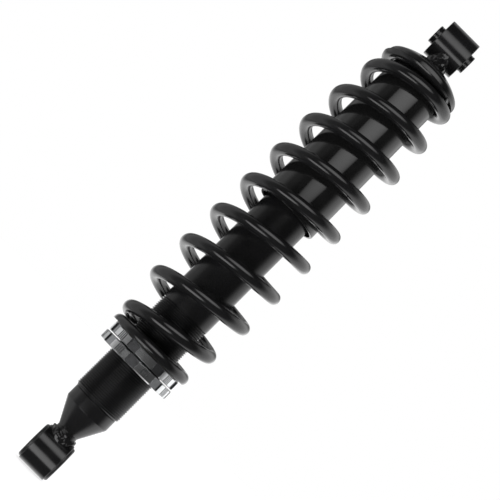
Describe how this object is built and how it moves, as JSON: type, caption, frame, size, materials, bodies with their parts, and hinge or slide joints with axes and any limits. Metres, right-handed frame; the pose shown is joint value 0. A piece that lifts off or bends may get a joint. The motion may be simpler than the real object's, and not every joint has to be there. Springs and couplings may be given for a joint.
{
  "type": "coil-over shock absorber",
  "caption": "Coil-over shock absorber: threaded damper tube with ring nuts, coil spring, domed top retainer with dust cover, and a bushed mounting eye at each end.",
  "frame": {"origin": "centre of the bolt hole in the lower eye (the body end)", "axes": "+Z along the shock's axis from the lower eye to the upper eye; both bolt holes run along X"},
  "size_m": [0.0972, 0.0972, 0.5253],
  "materials": {
    "black_paint": "gloss black powder coat",
    "spring_paint": "gloss black powder coat on spring wire",
    "cover_plastic": "gloss black moulded plastic",
    "bushing_plastic": "satin black polyurethane",
    "nut_aluminium": "bright turned and milled aluminium",
    "inner_aluminium": "turned aluminium",
    "rod_chrome": "hard chrome, ground and polished",
    "zinc_steel": "zinc plated steel",
    "sintered_iron": "sintered iron",
    "bronze": "bronze bush lining",
    "seal_rubber": "nitrile rubber",
    "bumper_foam": "microcellular urethane",
    "band_ptfe": "filled PTFE bearing strip"
  },
  "bodies": {
    "damper_body": {"lower_eye_tube": "black_paint", "lower_eye_weld": "black_paint", "lower_bushing_left": "bushing_plastic", "lower_bushing_right": "bushing_plastic", "end_cap": "black_paint", "end_cap_oring": "seal_rubber", "gas_fill_screw": "zinc_steel", "shock_body": "black_paint", "rod_guide": "inner_aluminium", "rod_bushing": "bronze", "rod_seal": "seal_rubber", "guide_oring": "seal_rubber", "retaining_ring": "zinc_steel", "body_top_cap": "inner_aluminium", "wiper_seal": "seal_rubber", "coil_spring": "spring_paint"},
    "lower_sleeve": {"lower_sleeve": "black_paint"},
    "floating_piston": {"floating_piston": "inner_aluminium", "floating_piston_band": "band_ptfe", "floating_piston_oring": "seal_rubber"},
    "spring_seat": {"spring_seat": "bushing_plastic"},
    "preload_nut": {"preload_nut": "nut_aluminium"},
    "lock_nut": {"lock_nut": "nut_aluminium"},
    "spring_retainer": {"upper_retainer": "black_paint", "dust_cover": "cover_plastic", "bump_stop_cup": "zinc_steel", "bump_stop": "bumper_foam"},
    "rod": {"piston_rod": "rod_chrome", "rod_end_collar": "black_paint", "main_piston": "sintered_iron", "piston_band": "band_ptfe", "rebound_shims": "zinc_steel", "compression_shims": "zinc_steel", "piston_washers": "zinc_steel", "piston_nut": "zinc_steel", "top_out_bumper": "bumper_foam", "upper_eye_tube": "black_paint", "upper_eye_weld": "black_paint", "upper_bushing_left": "bushing_plastic", "upper_bushing_right": "bushing_plastic"},
    "upper_sleeve": {"upper_sleeve": "black_paint"}
  },
  "joints": [
    {"name": "stroke", "type": "slide", "parent": "damper_body", "child": "spring_retainer", "axis": [0, 0, -1], "range_m": [0, 0.115], "stiffness_N_per_m": 33000, "springref_m": -0.012, "deforming": ["coil_spring"]},
    {"name": "upper_eye_swivel", "type": "hinge", "parent": "spring_retainer", "child": "rod", "pos_m": [0, 0, 0.4621], "axis": [0, 0, 1], "continuous": true},
    {"name": "upper_sleeve_pivot", "type": "hinge", "parent": "rod", "child": "upper_sleeve", "pos_m": [0, 0, 0.488], "axis": [1, 0, 0], "continuous": true},
    {"name": "lower_sleeve_pivot", "type": "hinge", "parent": "damper_body", "child": "lower_sleeve", "pos_m": [0, 0, 0], "axis": [1, 0, 0], "continuous": true},
    {"name": "floating_piston_slide", "type": "slide", "parent": "damper_body", "child": "floating_piston", "axis": [0, 0, -1], "range_m": [0, 0.0185]},
    {"name": "seat_travel", "type": "slide", "parent": "damper_body", "child": "spring_seat", "axis": [0, 0, 1], "range_m": [-0.04, 0.04]},
    {"name": "preload_nut_turn", "type": "hinge", "parent": "spring_seat", "child": "preload_nut", "pos_m": [0, 0, 0.1068], "axis": [0, 0, 1], "range_deg": [-7200, 7200]},
    {"name": "lock_nut_turn", "type": "hinge", "parent": "spring_seat", "child": "lock_nut", "pos_m": [0, 0, 0.0974], "axis": [0, 0, 1], "range_deg": [-7200, 7200]}
  ],
  "couplings": [
    {"joint": "floating_piston_slide", "follows": "stroke", "ratio": 0.16},
    {"joint": "preload_nut_turn", "follows": "seat_travel", "rad_per_m": 3141.6},
    {"joint": "lock_nut_turn", "follows": "seat_travel", "rad_per_m": 3141.6}
  ]
}
